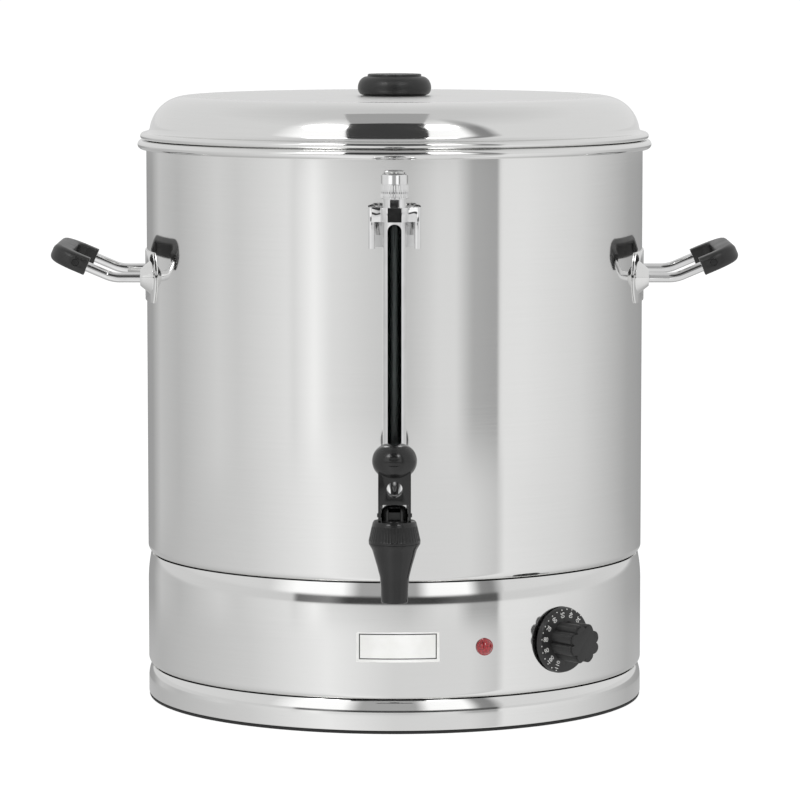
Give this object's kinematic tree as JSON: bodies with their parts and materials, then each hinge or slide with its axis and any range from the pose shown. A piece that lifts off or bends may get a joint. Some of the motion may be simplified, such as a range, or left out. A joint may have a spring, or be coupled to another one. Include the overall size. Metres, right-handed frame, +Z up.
{
  "type": "hot water urn",
  "caption": "Steel hot water urn with a lift-off lid, sight gauge, lever tap, dial thermostat, lamp and side handles.",
  "frame": {"origin": "middle of the round base, on the plane of the table it stands on", "axes": "+Z up along the body's axis, -Y to the front with the tap and gauge, +X to the right seen from the front"},
  "size_m": [0.55, 0.4951, 0.503],
  "materials": {
    "bright_steel": "bright annealed",
    "dull_steel": "mill finish",
    "zinc_steel": "zinc plated",
    "chrome": "polished",
    "black_plastic": "satin",
    "dark_plastic": "matte",
    "pale_plastic": "matte",
    "red_lens": "clear red, glossy",
    "black_rubber": "matte",
    "pale_silicone": "matte",
    "brass": "turned",
    "copper": "drawn copper",
    "clear_glass": "clear"
  },
  "bodies": {
    "urn": {"rubber_edging": "black_rubber", "base_ring": "bright_steel", "bottom_plate": "dull_steel", "plate_screws": "zinc_steel", "base_housing": "bright_steel", "tank_wall": "bright_steel", "tank_rim": "bright_steel", "tank_floor": "dull_steel", "left_handle_rod": "chrome", "right_handle_rod": "chrome", "left_handle_plate": "bright_steel", "right_handle_plate": "bright_steel", "left_grip": "black_plastic", "right_grip": "black_plastic", "left_grip_screws": "zinc_steel", "right_grip_screws": "zinc_steel", "gauge_base": "chrome", "shank_washers": "pale_silicone", "shank_nut": "chrome", "gauge_glass": "clear_glass", "gauge_guard": "chrome", "gauge_bracket": "chrome", "bracket_washer": "zinc_steel", "bracket_nut": "zinc_steel", "glass_seal": "pale_silicone", "tap_body": "black_plastic", "tap_bonnet": "black_plastic", "valve_spring": "zinc_steel", "stem_seal": "pale_silicone", "thermostat_body": "pale_plastic", "thermostat_screws": "zinc_steel", "thermostat_bulb": "copper", "capillary": "copper", "bulb_clips": "zinc_steel", "lamp_lens": "red_lens", "lamp_body": "dark_plastic", "lamp_nut": "dark_plastic", "heating_element": "dull_steel", "element_bushes": "brass", "element_gaskets": "pale_silicone", "element_nuts": "brass", "thermal_cutout": "dull_steel", "cutout_nuts": "zinc_steel", "terminal_block": "pale_plastic", "earth_stud": "brass", "cable_gland": "dark_plastic", "gland_nut": "dark_plastic"},
    "lid": {"lid": "bright_steel", "lid_knob": "black_plastic", "lid_knob_screw": "zinc_steel", "lid_knob_washer": "zinc_steel"},
    "stem": {"valve_stem": "zinc_steel", "seat_cup": "pale_silicone", "lever_pin": "black_plastic"},
    "lever": {"tap_lever": "black_plastic"},
    "dial": {"thermostat_knob": "black_plastic", "thermostat_spindle": "zinc_steel"},
    "cap_rise": {"cap_washer": "pale_silicone"},
    "cap": {"gauge_cap": "chrome"}
  },
  "joints": [
    {"name": "lid_lift", "type": "slide", "parent": "urn", "child": "lid", "axis": [0, 0, 1], "range_m": [0, 0.3]},
    {"name": "stem_lift", "type": "slide", "parent": "urn", "child": "stem", "axis": [0, 0, 1], "range_m": [0, 0.0032], "stiffness_N_per_m": 600, "springref_m": -0.004, "deforming": ["valve_spring"]},
    {"name": "lever_tilt", "type": "hinge", "parent": "stem", "child": "lever", "pos_m": [0, -0.258, 0.178], "axis": [1, 0, 0], "range_deg": [0, 30]},
    {"name": "dial_turn", "type": "hinge", "parent": "urn", "child": "dial", "pos_m": [0.12936, -0.15253, 0.0665], "axis": [0.6468, -0.7627, 0], "range_deg": [-158, 72]},
    {"name": "cap_rise", "type": "slide", "parent": "urn", "child": "cap_rise", "axis": [0, 0, 1], "range_m": [0, 0.0075]},
    {"name": "cap_turn", "type": "hinge", "parent": "cap_rise", "child": "cap", "pos_m": [0, -0.226, 0.42], "axis": [0, 0, 1], "range_deg": [0, 1800]}
  ],
  "couplings": [
    {"joint": "lever_tilt", "follows": "stem_lift", "rad_per_m": 163.61},
    {"joint": "cap_turn", "follows": "cap_rise", "rad_per_m": 4188.8}
  ]
}
